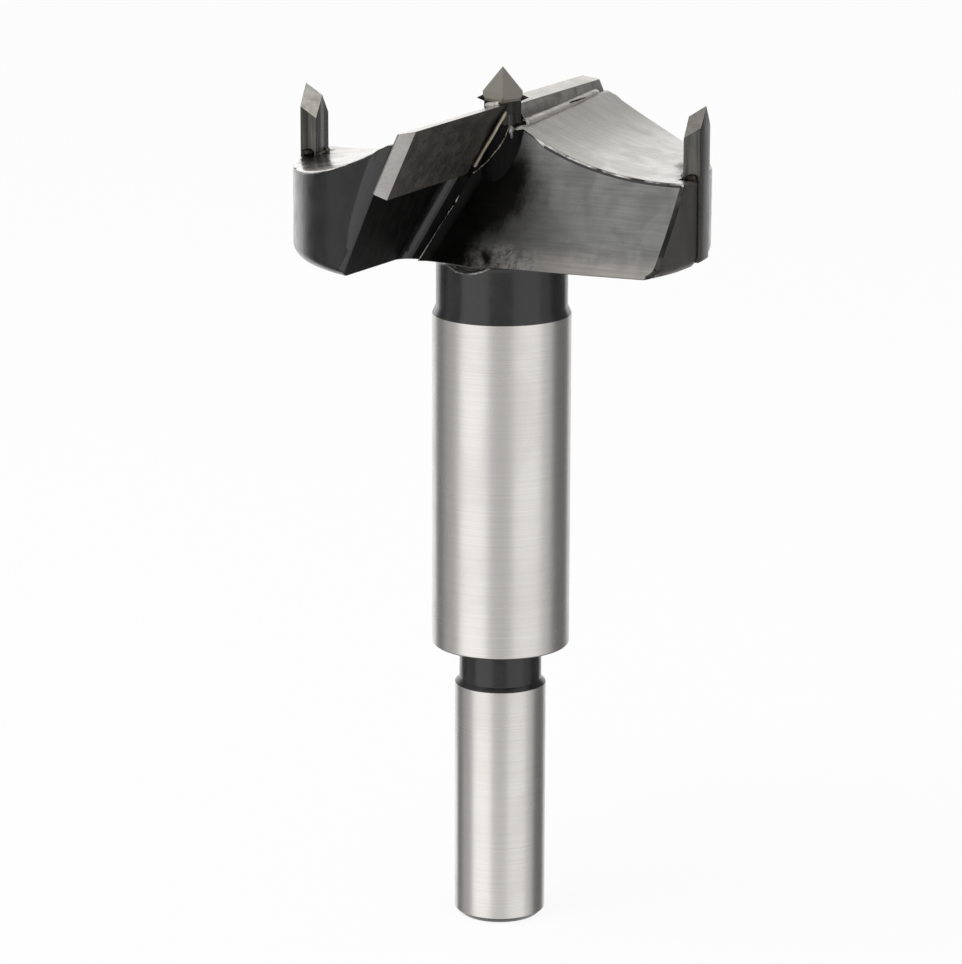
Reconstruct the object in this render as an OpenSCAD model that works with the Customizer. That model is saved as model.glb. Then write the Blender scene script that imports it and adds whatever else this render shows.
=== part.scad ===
// Carbide-tipped Forstner bit for flat-bottomed holes, standing on the flat end of its shank.
// Z is the axis of rotation with the point upwards; seen from the point the bit turns counter-clockwise.
// One wing is written out and the other is the same wing turned half a turn about the axis.

/* [Shank] */
// Diameter of the clamping shank
shank_d = 10; // [8:0.5:12]
// Length of the shank from its flat end to the undercut
shank_len = 26.6; // [18:0.2:40]
// Chamfer round the flat end of the shank
shank_chamfer = 0.6; // [0.2:0.1:1.2]
// Depth of the undercut below the shank's surface
undercut_depth = 0.5; // [0.2:0.1:1]
// Length of the undercut between shank and collar
undercut_len = 4.5; // [2:0.1:8]
// Length of the cone from the shank in to the undercut
shank_cone = 0.5; // [0.2:0.1:1]

/* [Collar and neck] */
// Diameter of the ground collar
collar_d = 15; // [13.5:0.1:17]
// Length of the collar
collar_len = 36.8; // [20:0.2:50]
// Chamfer at the lower end of the collar
collar_chamfer = 0.15; // [0.1:0.05:0.6]
// Length of the cone from the collar in to the neck
collar_cone = 0.9; // [0.3:0.1:1.5]
// Step from the collar down to the neck, on the radius
neck_step = 0.4; // [0.2:0.1:1]
// Length of the neck between collar and head
neck_len = 6.3; // [4:0.1:10]
// Fillet between the neck and the underside of the head
neck_fillet = 0.7; // [0.3:0.1:1.2]

/* [Head] */
// Diameter of the steel head
head_d = 44.6; // [40:0.2:50]
// Height of the cutting edges above the underside at the neck
edge_height = 16.4; // [15:0.1:19]
// How much higher the underside is at the rim than at the neck
rim_rise = 0.3; // [0:0.05:1]
// Rounding of the lower rim
rim_round = 1.3; // [0.5:0.1:2.5]
// Lean of each trailing gullet wall from the vertical, in degrees
wall_lean = 28.4; // [22:0.2:32]
// Depth below the cutting edges at which the trailing walls cross the axis
wall_drop = 2.9; // [2:0.1:4]
// Fillet along the root of each gullet
root_fillet = 1.2; // [0.5:0.1:2.5]
// Radius of the core round the centre point at its top
core_r = 2.4; // [2.3:0.1:3]
// Flare of the core from the vertical, in degrees
core_flare = 4; // [2:1:15]
// Depth of the core's flat top below the cutting edges
core_drop = 2.2; // [1.6:0.1:3]

/* [Wing tops] */
// Radius of the hollow clearance face on top of each wing
roof_r = 42; // [36:1:60]
// Depth of the clearance face's lowest line below the cutting edges
roof_drop = 6.7; // [5:0.1:8]
// Distance of that lowest line from the axis
roof_reach = 20.2; // [18:0.2:24]
// Turn of that line away from the cutting edge, in degrees
roof_skew = 5; // [0:0.5:7]

/* [Cutters] */
// Rake angle of the carbide cutters, in degrees
rake_angle = 24.6; // [15:0.2:30]
// Clearance angle of the ground land behind each cutting edge, in degrees
land_angle = 10.5; // [6:0.5:15]
// Distance by which each cutting edge leads the axis
edge_lead = 1.03; // [0.6:0.01:1.4]
// Thickness of the carbide plate
cutter_t = 1.6; // [1.2:0.1:2.2]
// Height of the carbide plate along its rake face
cutter_h = 8.1; // [6:0.1:10]
// Distance of the cutter's inner corner from the axis
cutter_inner = 1.1; // [0.9:0.1:2.5]
// Slant of the cutter's inner end, in degrees
inner_slant = 18; // [10:1:22]
// Distance from the head's rim in to the cutter's outer corner
cutter_setback = 0.9; // [0.4:0.1:1.5]
// Turn of the cutter's outer end towards the front, in degrees
end_turn = 20; // [10:1:30]
// Bevel at the trailing corner of the cutter's outer end
end_bevel = 0.5; // [0.2:0.1:0.8]
// Width of the ledge in the steel behind each cutter
ledge_w = 0.9; // [0.4:0.1:1.5]
// Depth of that ledge below the cutting edges
ledge_drop = 1.55; // [1.2:0.05:2]
// Fillet in the corner of the cutter's pocket, below the cutter
pocket_fillet = 1.6; // [0.6:0.1:2]
// Width of the flat on the steel beside the cutter's outer end
corner_flat = 0.9; // [0.5:0.1:2]

/* [Spurs] */
// How far the spurs stand out beyond the steel rim
spur_proud = 0.2; // [0.1:0.05:0.5]
// Height of the spur tips above the cutting edges
spur_rise = 0.9; // [0.3:0.02:1.5]
// Thickness of a spur from its outer face inwards
spur_t = 1.9; // [1.3:0.1:2.3]
// Width of a spur from its tip to its leading side
spur_lead = 1.9; // [1.2:0.1:2.2]
// Width of a spur from its tip to its trailing side
spur_trail = 1.7; // [1.2:0.1:2.2]
// Fall of the leading bevel across the spur's outer face
lead_fall = 2.3; // [1.5:0.1:4]
// Fall of the trailing bevel across the spur's outer face
trail_fall = 2.1; // [1.5:0.1:4]
// Fall of the ridge from the tip to the spur's inner face
ridge_fall = 1.25; // [0.6:0.05:2]
// Height of the spur's foot above the underside at the rim
spur_foot = 0.6; // [0.2:0.1:1.5]
// Angle of the spurs ahead of the trailing side, in degrees
spur_angle = 7.5; // [4:0.5:12]

/* [Centre point] */
// Height of the point above the cutting edges
point_rise = 3.84; // [2.5:0.02:5]
// Width of the square bar across its flats
point_w = 3; // [2.6:0.1:3.2]
// Half angle of the pyramid along its corners, in degrees
point_angle = 39; // [32:0.5:48]
// Reach of the four sharp ears below the pyramid
ear_reach = 0.65; // [0.2:0.05:1]
// Height of the ears above the cutting edges
ear_rise = 0.5; // [0.3:0.05:0.9]
// Height of an ear at its root
ear_t = 0.6; // [0.4:0.05:0.8]
// Width of an ear at its root
ear_w = 0.3; // [0.2:0.05:0.5]
// Depth by which the bar is set back below the ears
ear_notch = 0.15; // [0.05:0.05:0.3]
// Turn of the point's corners about the axis, in degrees
point_turn = 27; // [0:1:89]
// Length of the round tail below the square bar
tail_len = 6; // [3:0.5:9]

/* [Fits] */
// Width of the brazed seams between carbide and steel
braze_gap = 0.05; // [0.02:0.01:0.15]

/* [Hidden] */
$fn = 96;

shank_r = shank_d / 2;
undercut_r = shank_r - undercut_depth;
collar_r = collar_d / 2;
neck_r = collar_r - neck_step;
head_r = head_d / 2;
spur_r = head_r + spur_proud;

// Heights along the axis
z_undercut = shank_len;
z_collar = z_undercut + undercut_len;
z_neck = z_collar + collar_len;
z_head = z_neck + neck_len;
z_rim = z_head + rim_rise;
z_edge = z_head + edge_height;
z_core = z_edge - core_drop;
z_spur = z_edge + spur_rise;
z_point = z_edge + point_rise;

// Long enough for any cut to pass right through the head
reach = 2 * (head_d + edge_height);
// Flats that make up the fillet along a gullet's root or a pocket's corner
root_steps = 8;
// How far the cutter's pocket opens into the gullet in front of it
pocket_over = 0.3;

// Section of the cutter's land, which falls back by rake and clearance together
land_fall = cutter_t * tan(rake_angle + land_angle);
cutter_outer = head_r - cutter_setback;
seat_depth = cutter_t + braze_gap;

// Normals of the planes that bound the front gullet: the cutter's rake face and the wall ahead of it
rake_normal = [cos(rake_angle), 0, -sin(rake_angle)];
wall_normal = [0, -cos(wall_lean), sin(wall_lean)];
// Where both planes meet, and the direction in which their root rises
root_z = z_edge - wall_drop;
root_point = [edge_lead - wall_drop * tan(rake_angle), 0, root_z];
root_rise = [tan(rake_angle), tan(wall_lean), 1];
// Half the angle between the two planes, seen along the root
root_half = (180 - acos(rake_normal * wall_normal)) / 2;

// Lean of the flat beside the cutter, which follows the round rim as it goes down
flat_lean = 4.5;

// Half the diagonal of the centre point's pyramid at its foot, and of the bar below the ears
point_r = point_w / sqrt(2);
bar_r = point_r - ear_notch;
pyramid_foot = z_point - point_r / tan(point_angle);
ear_z = z_edge + ear_rise;
// Room left round the foot of the square bar, outside the core's flat top
point_room = 0.3;

// Everything on the side of a plane that its normal points to
module beyond(place, normal) {
    tilt = acos(normal.z / norm(normal));
    turn = atan2(normal.y, normal.x);
    translate(place) rotate([0, tilt, turn])
        translate([-reach, -reach, 0]) cube([2 * reach, 2 * reach, reach]);
}

// The same shape on both wings
module both_wings() {
    for (turn = [0, 180]) rotate([0, 0, turn]) children();
}

// The cutter's own frame: origin on the cutting edge, X out of the rake face, Z up along it
module cutter_frame() {
    translate([edge_lead, 0, z_edge]) rotate([0, rake_angle, 0]) children();
}

// The spur's own frame: origin at the tip, X outwards, Y towards its leading side
module spur_frame() {
    rotate([0, 0, 180 + spur_angle]) translate([spur_r, 0, z_spur]) children();
}

// Half section of the turned steel, from the shank's flat end to the top of the head
module turned_section() {
    z_top = z_edge + spur_rise;
    difference() {
        union() {
            polygon([
                [0, 0],
                [shank_r - shank_chamfer, 0],
                [shank_r, shank_chamfer],
                [shank_r, z_undercut],
                [undercut_r, z_undercut + shank_cone],
                [undercut_r, z_collar],
                [collar_r - collar_chamfer, z_collar],
                [collar_r, z_collar + collar_chamfer],
                [collar_r, z_neck],
                [neck_r, z_neck + collar_cone],
                [neck_r, z_head - neck_fillet],
                [neck_r + neck_fillet, z_head - neck_fillet],
                [neck_r + neck_fillet, z_head],
                [head_r - rim_round, z_rim],
                [head_r - rim_round, z_rim + rim_round],
                [head_r, z_rim + rim_round],
                [head_r, z_top],
                [0, z_top],
            ]);
            translate([head_r - rim_round, z_rim + rim_round]) circle(rim_round);
        }
        translate([neck_r + neck_fillet, z_head - neck_fillet]) circle(neck_fillet);
    }
}

// Outline of a gullet seen along its root: two flanks with a fillet between them, opening along -X
module gullet_section() {
    centre = -root_fillet / sin(root_half);
    sweep = 90 - root_half;
    far = -reach * cos(root_half);
    side = reach * sin(root_half);
    polygon([
        for (share = [-1 : 2 / root_steps : 1])
            [centre + root_fillet * cos(share * sweep), root_fillet * sin(share * sweep)],
        [far, side],
        [far, -side],
    ]);
}

// The front gullet, between the front cutter's rake face and the wall of the wing ahead of it
module gullet() {
    tilt = acos(1 / norm(root_rise));
    turn = atan2(root_rise.y, root_rise.x);
    // Directions of the section's axes after the root has been tilted and turned
    across = [cos(tilt) * cos(turn), cos(tilt) * sin(turn), -sin(tilt)];
    along = [-sin(turn), cos(turn), 0];
    open = rake_normal + wall_normal;
    spin = atan2(open * along, open * across) + 180;
    difference() {
        translate(root_point) rotate([0, tilt, turn]) rotate([0, 0, spin])
            translate([0, 0, -reach / 2]) linear_extrude(reach) gullet_section();
        core();
    }
}

// Conical core that carries the centre point between the gullets
module core() {
    depth = edge_height - core_drop;
    translate([0, 0, z_head])
        cylinder(r1 = core_r + depth * tan(core_flare), r2 = core_r, h = depth);
}

// Slab milled out behind the front rake face, with its inner side slanted like the cutter's end
module cutter_pocket() {
    cutter_frame() difference() {
        translate([-seat_depth, -reach, -reach]) cube([seat_depth + pocket_over, reach, 2 * reach]);
        beyond([0, -cutter_inner + braze_gap, 0], [0, cos(inner_slant), -sin(inner_slant)]);
        pocket_corner();
    }
}

// Steel left in the corner of the pocket below the cutter, in the cutter's frame
module pocket_corner() {
    difference() {
        translate([-seat_depth, -cutter_inner + braze_gap, 0]) rotate([-inner_slant, 0, 0])
            translate([0, 0, -reach]) linear_extrude(reach) polygon([
                [-pocket_over, pocket_over],
                for (turn = [0 : 90 / root_steps : 90])
                    pocket_fillet * [1 - sin(turn), cos(turn) - 1],
            ]);
        translate([-reach, -reach, -cutter_h - braze_gap]) cube(2 * reach);
    }
}

// Ledge in the steel along the back of the front cutter
module ledge_cut() {
    intersection() {
        translate([-reach, -reach, z_edge - ledge_drop]) cube([2 * reach, reach, reach]);
        cutter_frame() translate([-seat_depth - ledge_w, -reach, -reach])
            cube([ledge_w + seat_depth, reach, 2 * reach]);
    }
}

// Flat on the steel beside the outer end of the front cutter
module corner_cut() {
    start = sqrt(pow(head_r, 2) - pow(seat_depth, 2)) - corner_flat * sin(end_turn);
    intersection() {
        translate([-reach, -reach, z_head]) cube([2 * reach, reach, reach]);
        cutter_frame() beyond(
            [-seat_depth, -start, 0],
            [sin(end_turn) * cos(flat_lean), -cos(end_turn) * cos(flat_lean), -cos(end_turn) * sin(flat_lean)]
        );
    }
}

// Hollow clearance face over the wing behind the front cutter
module roof_cut() {
    intersection() {
        translate([-reach, -reach, 0]) cube([reach, 2 * reach, z_point]);
        rotate([0, 0, -roof_skew]) translate([-roof_reach, 0, z_edge - roof_drop + roof_r])
            rotate([90, 0, 0]) cylinder(r = roof_r, h = 2 * reach, center = true, $fn = 180);
    }
}

// Groove for a spur, right through the rim
module spur_groove() {
    spur_frame() translate([-spur_t - braze_gap, -spur_trail - braze_gap, -reach])
        cube([reach, spur_trail + spur_lead + 2 * braze_gap, 2 * reach]);
}

// Room above the core's flat top for the corners of the centre point's square bar
module point_seat() {
    translate([0, 0, z_core]) cylinder(r = core_r + point_room, h = reach);
    translate([0, 0, z_core - tail_len]) cylinder(r = point_w / 2 + braze_gap, h = reach);
}

// Carbide plate of the front cutter
module cutter() {
    section = [[0, 0], [-cutter_t, -land_fall], [-cutter_t, -cutter_h], [0, -cutter_h]];
    end = [sin(end_turn), -cos(end_turn), 0];
    bevel = [-cos(end_turn), -sin(end_turn), 0];
    // Corner that the bevel takes off, at the back of the outer end
    corner = [-cutter_t, -cutter_outer - cutter_t * tan(end_turn), 0];
    cutter_frame() difference() {
        rotate([90, 0, 0]) linear_extrude(head_r) polygon(section);
        beyond([0, -cutter_inner, 0], [0, cos(inner_slant), -sin(inner_slant)]);
        beyond([0, -cutter_outer, 0], end);
        beyond(corner - end_bevel * bevel / 2, bevel + end);
    }
}

// Carbide bar of the left spur, ground to a point at its outer face
module spur() {
    lead = [-ridge_fall / spur_t, lead_fall / spur_lead, 1];
    trail = [-ridge_fall / spur_t, -trail_fall / spur_trail, 1];
    length = z_spur - z_rim - spur_foot;
    intersection() {
        cylinder(r = spur_r, h = reach + z_spur, $fn = 180);
        spur_frame() difference() {
            translate([-spur_t, -spur_trail, -length]) cube([2 * spur_t, spur_trail + spur_lead, length]);
            beyond([0, 0, 0], lead);
            beyond([0, 0, 0], trail);
        }
    }
}

module body() {
    color("dimgray") difference() {
        rotate_extrude() turned_section();
        both_wings() {
            gullet();
            cutter_pocket();
            ledge_cut();
            corner_cut();
            roof_cut();
            spur_groove();
        }
        point_seat();
    }
}

module cutter_front() {
    color("slategray") cutter();
}

module cutter_rear() {
    color("slategray") rotate([0, 0, 180]) cutter();
}

module spur_left() {
    color("tan") spur();
}

module spur_right() {
    color("tan") rotate([0, 0, 180]) spur();
}

// Square bar ground to a pyramid, with an ear at each corner, flats beside the cutters and a round tail
module centre_point() {
    color("gray") difference() {
        point_bar();
        both_wings() intersection() {
            cutter_pocket();
            translate([-reach, -reach, 0]) cube([2 * reach, 2 * reach, z_edge + braze_gap]);
        }
    }
}

// Sharp four-sided ear along one corner of the centre point, drawn from the axis to its tip
module ear() {
    length = point_r + ear_reach;
    root_r = ear_t / 2 * length / ear_reach;
    translate([0, 0, ear_z]) rotate([0, 90, 0]) scale([1, ear_w / ear_t, 1])
        cylinder(r1 = root_r, r2 = 0, h = length, $fn = 4);
}

// The centre point's bar before the flats are ground
module point_bar() {
    union() {
        rotate([0, 0, point_turn]) rotate_extrude($fn = 4) polygon([
            [0, z_core],
            [bar_r, z_core],
            [bar_r, ear_z - ear_t / 2],
            [point_r, ear_z],
            [point_r, pyramid_foot],
            [0, z_point],
        ]);
        for (turn = [0 : 90 : 270]) rotate([0, 0, point_turn + turn]) ear();
        // The tail runs up inside the bar, to be one piece with it
        translate([0, 0, z_core - tail_len]) cylinder(r = point_w / 2, h = tail_len + core_drop / 2);
    }
}

body();
cutter_front();
cutter_rear();
spur_left();
spur_right();
centre_point();
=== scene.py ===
import logging
import math
import random
from dataclasses import dataclass
from enum import Enum

import bmesh
import bpy
from mathutils import Matrix, Vector


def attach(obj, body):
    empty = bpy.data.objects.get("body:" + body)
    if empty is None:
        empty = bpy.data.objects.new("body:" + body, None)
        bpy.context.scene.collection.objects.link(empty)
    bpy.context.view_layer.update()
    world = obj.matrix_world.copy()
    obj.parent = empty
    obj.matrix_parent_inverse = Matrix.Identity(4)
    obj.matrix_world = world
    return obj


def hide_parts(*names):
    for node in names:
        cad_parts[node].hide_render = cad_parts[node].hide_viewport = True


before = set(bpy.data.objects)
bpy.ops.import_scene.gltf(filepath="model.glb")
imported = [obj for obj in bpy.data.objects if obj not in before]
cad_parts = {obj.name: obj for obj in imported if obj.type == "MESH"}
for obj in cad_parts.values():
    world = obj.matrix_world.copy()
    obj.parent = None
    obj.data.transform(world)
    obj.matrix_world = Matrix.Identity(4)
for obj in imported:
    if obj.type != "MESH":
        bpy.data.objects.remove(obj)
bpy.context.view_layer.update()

log = logging.getLogger("forstner_bit")

MM = 0.001
BODY = "root"
# Turn from which an edge is sharp, and turn up to which two faces are one flat face
SHARP = math.radians(25.0)
FLAT = math.radians(0.2)
# Weight of large faces in the shading of round edges
FACE_WEIGHT = 80
# Direction of azimuth zero, in degrees from the X axis
ZERO_AZIMUTH = -90.0
# Middle of a noise, and the part of the grinding lines' range that changes the tone
NOISE_MIDDLE = 0.5
LINE_SPAN = (0.3, 0.7)
WHITE = (1.0, 1.0, 1.0, 1.0)
Span = tuple[float, float]
Colour = tuple[float, float, float]
Point = tuple[float, float, float]
Blob = tuple[Point, Point]
Socket = bpy.types.NodeSocket


class Zone(Enum):
    """Finishes of the steel body, in the order of its material slots."""

    BLACK = 0
    GROUND = 1
    WALL = 2
    TOP = 3
    # Painted shade: near-black, barely glossy lacquer in the core, the pockets and beside the ridges
    CORE = 4
    EDGE = 5
    RIDGE = 6
    CORNER = 7
    # Painted shade with patches of wear, in a dark band at a wing's corner
    SHADED_BAND = 8


class Form(Enum):
    """Main faces of the head, whose shared edges have a wide rounding."""

    WALL = "wall"
    TOP = "top"
    RIM = "rim"
    FLANK = "flank"
    OTHER = "other"


class Face(Enum):
    """Finishes of a carbide piece, in the order of its material slots."""

    SINTERED = 0
    GROUND = 1
    RAKE = 2
    LAND = 3


class Side(Enum):
    """The two wings, each with the turn about the axis that puts a piece on it."""

    FRONT = 0.0
    REAR = math.pi

    def turn(self) -> Matrix:
        """Rotation about the axis that carries a front piece to this wing."""
        return Matrix.Rotation(self.value, 4, "Z")


class NodeSheet:
    """Places and links the nodes of one tree.

    Attributes:
        MIX_SHARE: Place of the share among the inputs of a colour mix, whose sockets share their names.
        MIX_FIRST: Place of its first colour.
        MIX_SECOND: Place of its second colour.
        MIX_RESULT: Place of the mixed colour among its outputs.
    """

    MIX_SHARE = 0
    MIX_FIRST = 6
    MIX_SECOND = 7
    MIX_RESULT = 2

    def __init__(self, tree: bpy.types.NodeTree) -> None:
        """Starts on a tree.

        Args:
            tree: The node tree that gets the nodes.
        """
        self.tree = tree

    def add(self, kind: str, **settings: object) -> bpy.types.Node:
        """Adds one node.

        Args:
            kind: Blender's name of the node type.
            settings: Properties to set on the node.

        Returns:
            The new node.
        """
        node = self.tree.nodes.new(kind)
        for name, value in settings.items():
            setattr(node, name, value)
        return node

    def feed(self, socket: Socket, source: object) -> None:
        """Links a socket to another one, or sets its value.

        Args:
            socket: The input to feed.
            source: An output socket to link, or a plain value.
        """
        if isinstance(source, Socket):
            self.tree.links.new(source, socket)
        else:
            socket.default_value = source

    def math(self, operation: str, first: object, second: object = 0.0) -> Socket:
        """Adds a Math node.

        Args:
            operation: Name of the operation.
            first: First value or socket.
            second: Second value or socket.

        Returns:
            The node's output.
        """
        node = self.add("ShaderNodeMath", operation=operation)
        self.feed(node.inputs[0], first)
        self.feed(node.inputs[1], second)
        return node.outputs[0]

    def vector(self, operation: str, first: object, second: object) -> Socket:
        """Adds a Vector Math node.

        Args:
            operation: Name of the operation.
            first: First vector or socket.
            second: Second vector, or the factor where the operation scales.

        Returns:
            The node's output.
        """
        node = self.add("ShaderNodeVectorMath", operation=operation)
        self.feed(node.inputs[0], first)
        self.feed(node.inputs["Scale" if operation == "SCALE" else 1], second)
        return node.outputs["Value" if operation == "DOT_PRODUCT" else "Vector"]

    def axes(self, place: Socket) -> tuple[Socket, Socket, Socket]:
        """Splits a position.

        Args:
            place: The position.

        Returns:
            Its X, Y and Z.
        """
        node = self.add("ShaderNodeSeparateXYZ")
        self.feed(node.inputs[0], place)
        return node.outputs["X"], node.outputs["Y"], node.outputs["Z"]

    def noise(self, place: Socket, frequency: object, **settings: float) -> Socket:
        """Adds a noise.

        Args:
            place: The position that it reads.
            frequency: Swings for each unit of the position.
            settings: Values of its other inputs by their names.

        Returns:
            The noise, around its middle.
        """
        node = self.add("ShaderNodeTexNoise")
        self.feed(node.inputs["Vector"], place)
        self.feed(node.inputs["Scale"], frequency)
        for name, value in settings.items():
            self.feed(node.inputs[name], value)
        return node.outputs["Fac"]

    def remap(self, value: object, low: float, high: float, to: Span) -> Socket:
        """Maps a range of a value smoothly onto another range.

        Args:
            value: The value or socket to map.
            low: Where the range starts.
            high: Where the range ends.
            to: The two values that the range's ends become.

        Returns:
            The mapped value.
        """
        node = self.add("ShaderNodeMapRange", interpolation_type="SMOOTHSTEP")
        self.feed(node.inputs["Value"], value)
        self.feed(node.inputs["From Min"], low)
        self.feed(node.inputs["From Max"], high)
        self.feed(node.inputs["To Min"], to[0])
        self.feed(node.inputs["To Max"], to[1])
        return node.outputs["Result"]

    def mix(self, share: object, first: object, second: object) -> Socket:
        """Mixes two colours.

        Args:
            share: Share of the second colour.
            first: First colour or socket.
            second: Second colour or socket.

        Returns:
            The mixed colour.
        """
        node = self.add("ShaderNodeMix", data_type="RGBA")
        self.feed(node.inputs[self.MIX_SHARE], share)
        self.feed(node.inputs[self.MIX_FIRST], opaque(first))
        self.feed(node.inputs[self.MIX_SECOND], opaque(second))
        return node.outputs[self.MIX_RESULT]

    def surface(self, share: Socket, first: Socket, second: Socket, output: str) -> None:
        """Mixes two shaders into the surface of the tree's output.

        Args:
            share: Share of the second shader.
            first: First shader.
            second: Second shader.
            output: Name of the output node.
        """
        blend = self.add("ShaderNodeMixShader")
        for socket, source in zip(blend.inputs, (share, first, second)):
            self.feed(socket, source)
        self.feed(self.tree.nodes[output].inputs["Surface"], blend.outputs[0])


def opaque(colour: object) -> object:
    """Gives a plain colour its alpha, and leaves a socket as it is."""
    if isinstance(colour, Socket):
        return colour
    return (*colour, 1.0)


def group_sheet(name: str, inputs: dict[str, str], outputs: dict[str, str]) -> NodeSheet:
    """Makes an empty shader node group with named sockets.

    Args:
        name: Name of the group.
        inputs: Socket types by the names of the inputs.
        outputs: Socket types by the names of the outputs.

    Returns:
        The sheet of the group's tree.
    """
    tree = bpy.data.node_groups.new(name, "ShaderNodeTree")
    for title, kind in inputs.items():
        tree.interface.new_socket(title, in_out="INPUT", socket_type=kind)
    for title, kind in outputs.items():
        tree.interface.new_socket(title, in_out="OUTPUT", socket_type=kind)
    return NodeSheet(tree)


class Marks:
    """Shader node groups for the marks that grinding and handling leave."""

    def __init__(self) -> None:
        """Builds the groups once for all materials."""
        self.streaks = self.make_streaks()
        self.mottle = self.make_mottle()

    @staticmethod
    def make_streaks() -> bpy.types.NodeTree:
        """Builds fine parallel grinding lines.

        Returns:
            A group from a position and its line frequency to a height from 0 to 1.
        """
        sheet = group_sheet(
            "grinding_lines",
            {"Position": "NodeSocketVector", "Frequency": "NodeSocketVector"},
            {"Lines": "NodeSocketFloat"},
        )
        inside = sheet.add("NodeGroupInput")
        outside = sheet.add("NodeGroupOutput")
        stretched = sheet.vector("MULTIPLY", inside.outputs["Position"], inside.outputs["Frequency"])
        sheet.feed(outside.inputs["Lines"], sheet.noise(stretched, 1.0, Detail=4.0, Roughness=0.65))
        return sheet.tree

    @staticmethod
    def make_mottle() -> bpy.types.NodeTree:
        """Builds soft cloudy patches.

        Returns:
            A group from a position and a patch frequency to a mask from 0 to 1.
        """
        sheet = group_sheet(
            "cloudy_patches",
            {"Position": "NodeSocketVector", "Frequency": "NodeSocketFloat"},
            {"Mask": "NodeSocketFloat"},
        )
        inside = sheet.add("NodeGroupInput")
        outside = sheet.add("NodeGroupOutput")
        position, frequency = inside.outputs["Position"], inside.outputs["Frequency"]
        clouds = sheet.noise(position, frequency, Detail=3.0, Distortion=0.6)
        sheet.feed(outside.inputs["Mask"], sheet.remap(clouds, low=0.35, high=0.68, to=(0.0, 1.0)))
        return sheet.tree


@dataclass(frozen=True)
class Finish:
    """One surface finish, made of a metal or lacquer with grinding lines and cloudy patches.

    Attributes:
        name: Name of the material.
        colour: Colour between the patches.
        patch: Colour inside the patches.
        metallic: Metallic share.
        roughness: Roughness between the patches.
        patch_roughness: Roughness inside the patches.
        patch_frequency: Patches per metre.
        line_frequency: Grinding lines per metre along each axis.
        line_tone: How much the lines change the colour.
        line_height: Height of the lines' relief.
        specular: Specular level of the shader.
        anisotropy: Stretch of the highlights across the lines.
    """

    name: str
    colour: Colour
    patch: Colour
    metallic: float = 1.0
    roughness: float = 0.3
    patch_roughness: float = 0.35
    patch_frequency: float = 400.0
    line_frequency: Point = (300.0, 300.0, 300.0)
    line_tone: float = 0.1
    line_height: float = 0.01 * MM
    specular: float = 0.5
    anisotropy: float = 0.0

    def material(self, marks: Marks) -> bpy.types.Material:
        """Builds the finish as a node material.

        Args:
            marks: The shared groups of surface marks.

        Returns:
            The material.
        """
        material = bpy.data.materials.new(self.name)
        material.use_nodes = True
        sheet = NodeSheet(material.node_tree)
        shader = sheet.tree.nodes["Principled BSDF"]
        place = sheet.add("ShaderNodeTexCoord").outputs["Object"]
        lines = sheet.add("ShaderNodeGroup", node_tree=marks.streaks)
        sheet.feed(lines.inputs["Position"], place)
        sheet.feed(lines.inputs["Frequency"], self.line_frequency)
        patches = sheet.add("ShaderNodeGroup", node_tree=marks.mottle)
        sheet.feed(patches.inputs["Position"], place)
        sheet.feed(patches.inputs["Frequency"], self.patch_frequency)
        mask = patches.outputs["Mask"]
        height = lines.outputs["Lines"]
        tone = sheet.remap(height, *LINE_SPAN, (1.0 - self.line_tone, 1.0 + self.line_tone))
        shaded = self.shade(sheet, place, sheet.mix(mask, self.colour, self.patch))
        gloss = sheet.remap(mask, 0.0, 1.0, (self.roughness, self.patch_roughness))
        sheet.feed(shader.inputs["Base Color"], sheet.vector("SCALE", shaded, tone))
        sheet.feed(shader.inputs["Roughness"], gloss)
        shader.inputs["Metallic"].default_value = self.metallic
        shader.inputs["Specular IOR Level"].default_value = self.specular
        shader.inputs["Anisotropic"].default_value = self.anisotropy
        if self.anisotropy:
            tangent = sheet.add("ShaderNodeTangent", direction_type="RADIAL", axis="Z")
            sheet.feed(shader.inputs["Tangent"], tangent.outputs[0])
        bump = sheet.add("ShaderNodeBump")
        bump.inputs["Distance"].default_value = self.line_height
        sheet.feed(bump.inputs["Height"], height)
        sheet.feed(shader.inputs["Normal"], bump.outputs[0])
        return material

    def shade(self, sheet: NodeSheet, place: Socket, colour: Socket) -> Socket:
        """Leaves the colour even over the piece."""
        return colour


def wander(
    sheet: NodeSheet, place: Socket, frequency: float, reach: float, stretch: Point = (1.0, 1.0, 1.0)
) -> Socket:
    """Adds a rough wandering value.

    Args:
        sheet: The material's tree.
        place: Object coordinates.
        frequency: Swings per metre.
        reach: Twice the furthest swing to either side.
        stretch: Share of the frequency along each axis.

    Returns:
        The value, around zero.
    """
    stretched = sheet.vector("MULTIPLY", place, stretch)
    rough = sheet.noise(stretched, frequency, Detail=6.0, Roughness=0.7)
    return sheet.math("MULTIPLY", sheet.math("SUBTRACT", rough, NOISE_MIDDLE), reach)


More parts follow.
